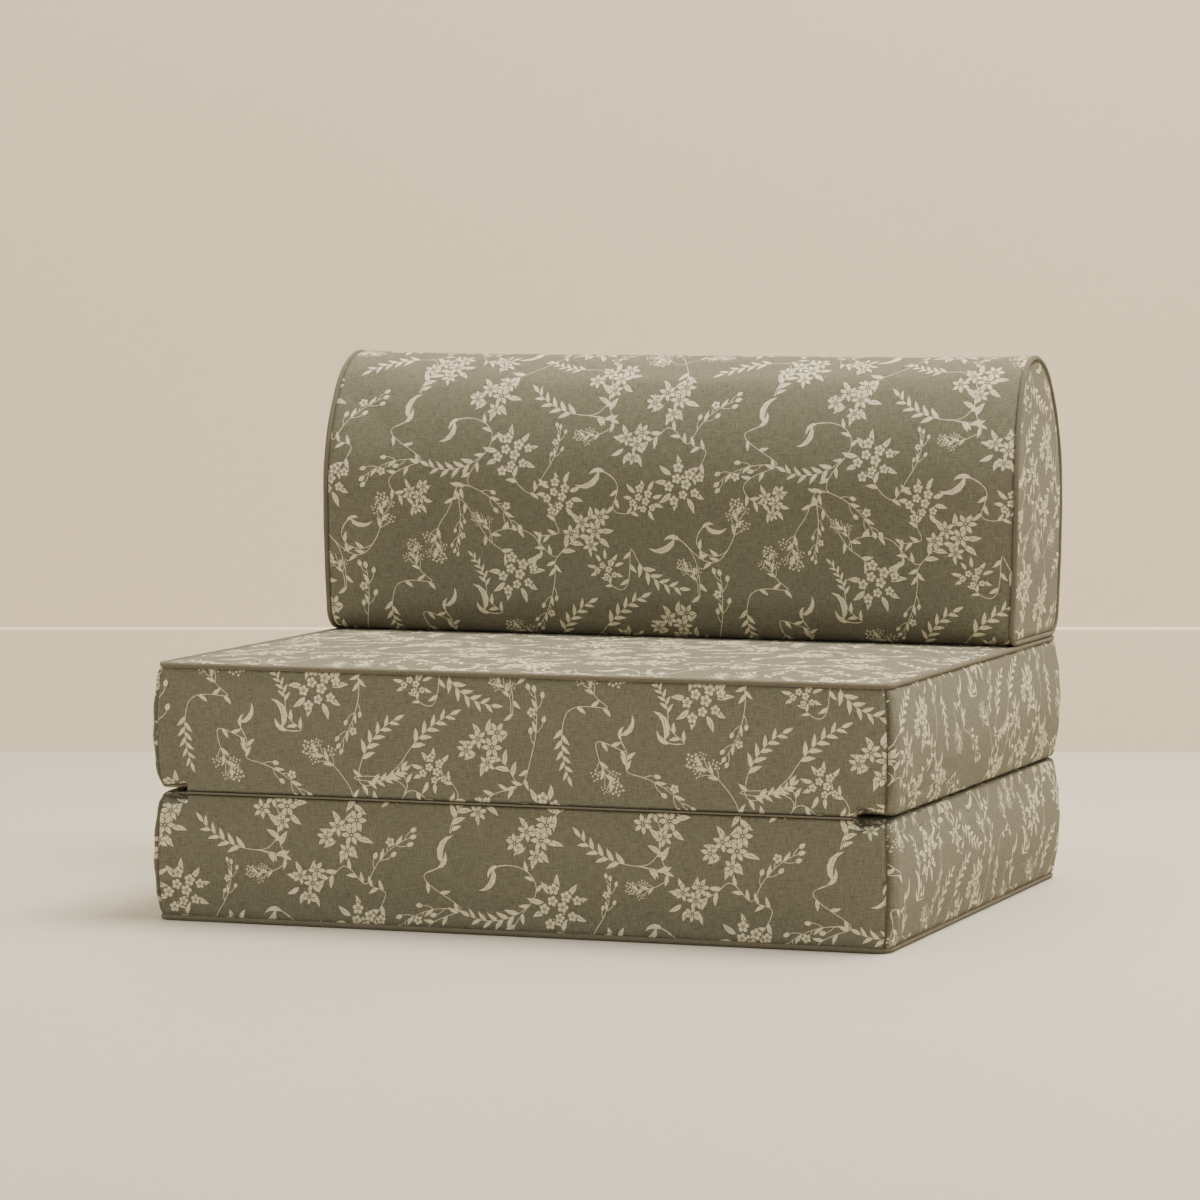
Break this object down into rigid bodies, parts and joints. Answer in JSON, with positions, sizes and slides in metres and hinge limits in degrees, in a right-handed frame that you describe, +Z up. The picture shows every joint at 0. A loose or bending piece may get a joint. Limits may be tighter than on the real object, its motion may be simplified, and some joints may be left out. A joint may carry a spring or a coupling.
{
  "type": "fold-out futon mattress chair",
  "caption": "Fold-out futon mattress: two hinged foam seat blocks in a printed, piped cover with an arched bolster backrest",
  "frame": {"origin": "centre of the lower block's base, on the floor", "axes": "+X to the right along the width, -Y towards the front, +Z up"},
  "size_m": [0.801, 0.6794, 0.5866],
  "materials": {
    "cover_cloth": "olive taupe slub linen weave with a cream floral print",
    "piping_cloth": "olive taupe linen piping on the bias",
    "hinge_tape": "plain woven tape",
    "foam": "open-cell polyurethane foam",
    "wadding": "bonded polyester fibre",
    "zip_tape": "twill zip tape",
    "zip_coil": "nylon coil",
    "zip_metal": "antique nickel",
    "label": "blank satin label"
  },
  "bodies": {
    "lower_section": {"lower_foam_core": "foam", "lower_wadding": "wadding", "lower_top_panel": "cover_cloth", "lower_base_panel": "cover_cloth", "lower_front_band": "cover_cloth", "lower_rear_band": "cover_cloth", "lower_left_band": "cover_cloth", "lower_right_band": "cover_cloth", "lower_base_piping": "piping_cloth", "lower_zip_tapes": "zip_tape", "lower_zip_coils": "zip_coil", "lower_zip_stops": "zip_metal", "lower_front_hinge_tape": "hinge_tape", "care_label": "label"},
    "upper_section": {"upper_foam_core": "foam", "upper_wadding": "wadding", "upper_top_panel": "cover_cloth", "upper_base_panel": "cover_cloth", "upper_front_band": "cover_cloth", "upper_rear_band": "cover_cloth", "upper_left_band": "cover_cloth", "upper_right_band": "cover_cloth", "upper_top_piping": "piping_cloth", "upper_zip_tapes": "zip_tape", "upper_zip_coils": "zip_coil", "upper_zip_stops": "zip_metal", "upper_front_hinge_tape": "hinge_tape", "upper_rear_hinge_tape": "hinge_tape"},
    "backrest": {"back_foam_core": "foam", "back_wadding": "wadding", "back_wrap_panel": "cover_cloth", "back_rear_panel": "cover_cloth", "back_base_panel": "cover_cloth", "back_left_end": "cover_cloth", "back_right_end": "cover_cloth", "back_left_piping": "piping_cloth", "back_right_piping": "piping_cloth", "back_zip_tapes": "zip_tape", "back_zip_coils": "zip_coil", "back_zip_stops": "zip_metal", "back_rear_hinge_tape": "hinge_tape"},
    "lower_zip_slider_body": {"lower_zip_slider": "zip_metal"},
    "lower_zip_pull_body": {"lower_zip_pull": "zip_metal"},
    "upper_zip_slider_body": {"upper_zip_slider": "zip_metal"},
    "upper_zip_pull_body": {"upper_zip_pull": "zip_metal"},
    "back_zip_slider_body": {"back_zip_slider": "zip_metal"},
    "back_zip_pull_body": {"back_zip_pull": "zip_metal"}
  },
  "joints": [
    {"name": "seat_fold", "type": "hinge", "parent": "lower_section", "child": "upper_section", "pos_m": [0, -0.339, 0.1359], "axis": [1, 0, 0], "range_deg": [0, 180]},
    {"name": "back_fold", "type": "hinge", "parent": "upper_section", "child": "backrest", "pos_m": [0, 0.3395, 0.2714], "axis": [1, 0, 0], "range_deg": [-180, 0]},
    {"name": "lower_zip_slide", "type": "slide", "parent": "lower_section", "child": "lower_zip_slider_body", "axis": [1, 0, 0], "range_m": [-0.6774, 0]},
    {"name": "lower_zip_pull_swing", "type": "hinge", "parent": "lower_zip_slider_body", "child": "lower_zip_pull_body", "pos_m": [0.3387, 0.3385, 0.0675], "axis": [0, 0, 1], "range_deg": [-170, 0]},
    {"name": "upper_zip_slide", "type": "slide", "parent": "upper_section", "child": "upper_zip_slider_body", "axis": [1, 0, 0], "range_m": [-0.6774, 0]},
    {"name": "upper_zip_pull_swing", "type": "hinge", "parent": "upper_zip_slider_body", "child": "upper_zip_pull_body", "pos_m": [0.3387, 0.3385, 0.2043], "axis": [0, 0, 1], "range_deg": [-170, 0]},
    {"name": "back_zip_slide", "type": "slide", "parent": "backrest", "child": "back_zip_slider_body", "axis": [1, 0, 0], "range_m": [-0.6774, 0]},
    {"name": "back_zip_pull_swing", "type": "hinge", "parent": "back_zip_slider_body", "child": "back_zip_pull_body", "pos_m": [0.3387, 0.3385, 0.3186], "axis": [0, 0, 1], "range_deg": [-170, 0]}
  ],
  "couplings": [
    {"joint": "back_fold", "follows": "seat_fold", "ratio": -1}
  ]
}
